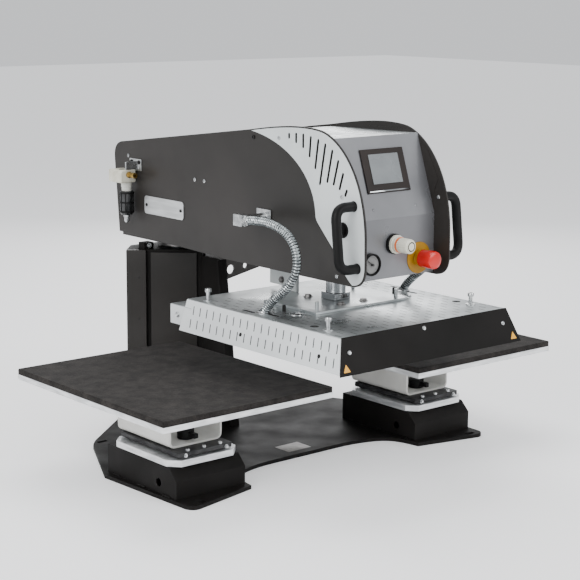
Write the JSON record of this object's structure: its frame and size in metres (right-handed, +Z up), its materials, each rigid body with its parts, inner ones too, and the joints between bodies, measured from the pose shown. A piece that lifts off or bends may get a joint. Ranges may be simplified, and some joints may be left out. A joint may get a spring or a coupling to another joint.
{
  "type": "heat press",
  "caption": "Pneumatic double-station heat press: a heated platen on an arm that swings over two padded trays on a shared base.",
  "frame": {"origin": "on the supporting surface, on the arm's vertical swing axis, under the base plate", "axes": "+X to the operator's right along the line of the two trays, +Y away from the operator, +Z up"},
  "size_m": [1.032, 0.9235, 0.7021],
  "materials": {
    "black_paint": "fine satin powder coat",
    "grey_paint": "satin paint",
    "clear_aluminium": "milled",
    "machined_steel": "ground",
    "black_plastic": "moulded satin",
    "silicone_foam": "open-cell matt",
    "zinc_sheet": "galvanised, punched",
    "panel_paint": "satin silver-grey paint",
    "screen_glass": "hard-coated film",
    "cream_plastic": "moulded",
    "yellow_plastic": "moulded",
    "red_plastic": "moulded",
    "bright_steel": "polished"
  },
  "bodies": {
    "base": {"base_plate": "black_paint", "left_pedestal": "black_paint", "left_riser_plate": "clear_aluminium", "left_clamp_plate": "machined_steel", "left_tray_channel": "grey_paint", "left_tray": "clear_aluminium", "left_tray_pad": "silicone_foam", "right_pedestal": "black_paint", "right_riser_plate": "clear_aluminium", "right_clamp_plate": "machined_steel", "right_tray_channel": "grey_paint", "right_tray": "clear_aluminium", "right_tray_pad": "silicone_foam", "column_post": "black_paint", "column_left_cover": "black_paint", "column_right_cover": "black_paint", "column_cable_duct": "black_paint", "column_rib": "black_paint", "column_side_bracket": "black_paint", "swing_spindle": "bright_steel"},
    "arm": {"left_side_plate": "black_paint", "left_side_overlay": "grey_paint", "left_handle": "black_plastic", "left_conduit_elbow": "clear_aluminium", "right_side_plate": "black_paint", "right_side_overlay": "grey_paint", "right_handle": "black_plastic", "right_conduit_elbow": "clear_aluminium", "arm_floor": "black_paint", "arm_hub": "machined_steel", "arm_rear_cover": "black_paint", "arm_top_grille": "zinc_sheet", "control_panel": "panel_paint", "display_bezel": "black_plastic", "display_screen": "screen_glass", "gauge_case": "black_plastic", "regulator_body": "cream_plastic", "stop_disc": "yellow_plastic", "stop_collar": "red_plastic", "name_plate": "clear_aluminium", "filter_bracket": "clear_aluminium", "air_filter": "cream_plastic", "air_cylinder": "clear_aluminium"},
    "heater": {"heater_cover": "zinc_sheet", "heater_front_plate": "black_paint", "heating_platen": "clear_aluminium", "insulation_board": "silicone_foam", "pressure_plate": "clear_aluminium", "piston_rod": "bright_steel", "guide_blade": "clear_aluminium", "left_conduit": "bright_steel", "right_conduit": "bright_steel"},
    "gauge_pointer": {"gauge_needle": "black_plastic"},
    "regulator": {"regulator_knob": "cream_plastic"},
    "stop": {"stop_button": "red_plastic"},
    "left_start": {"left_start_button": "black_plastic"},
    "right_start": {"right_start_button": "black_plastic"},
    "left_lock": {"left_tray_lock": "black_plastic"},
    "right_lock": {"right_tray_lock": "black_plastic"}
  },
  "joints": [
    {"name": "arm_swing", "type": "hinge", "parent": "base", "child": "arm", "pos_m": [0, 0, 0.4], "axis": [0, 0, 1], "range_deg": [-36, 36]},
    {"name": "head_press", "type": "slide", "parent": "arm", "child": "heater", "axis": [0, 0, -1], "range_m": [0, 0.065], "stiffness_N_per_m": 9000, "springref_m": -0.06, "deforming": ["left_conduit", "right_conduit"]},
    {"name": "stop_press", "type": "slide", "parent": "arm", "child": "stop", "axis": [0, 1, 0], "range_m": [0, 0.005], "stiffness_N_per_m": 600},
    {"name": "regulator_turn", "type": "hinge", "parent": "arm", "child": "regulator", "pos_m": [-0.002, -0.73, 0.483], "axis": [0, 1, 0], "continuous": true},
    {"name": "gauge_pointer_turn", "type": "hinge", "parent": "arm", "child": "gauge_pointer", "pos_m": [-0.062, -0.7, 0.449], "axis": [0, 1, 0], "range_deg": [0, 200], "stiffness_Nm_per_rad": 0.002},
    {"name": "left_start_press", "type": "slide", "parent": "arm", "child": "left_start", "axis": [1, 0, 0], "range_m": [0, 0.004], "stiffness_N_per_m": 500},
    {"name": "right_start_press", "type": "slide", "parent": "arm", "child": "right_start", "axis": [-1, 0, 0], "range_m": [0, 0.004], "stiffness_N_per_m": 500},
    {"name": "left_lock_turn", "type": "hinge", "parent": "base", "child": "left_lock", "pos_m": [-0.316, -0.448, 0.105], "axis": [0, 0, 1], "range_deg": [0, 90]},
    {"name": "right_lock_turn", "type": "hinge", "parent": "base", "child": "right_lock", "pos_m": [0.316, -0.448, 0.105], "axis": [0, 0, -1], "range_deg": [0, 90]}
  ]
}
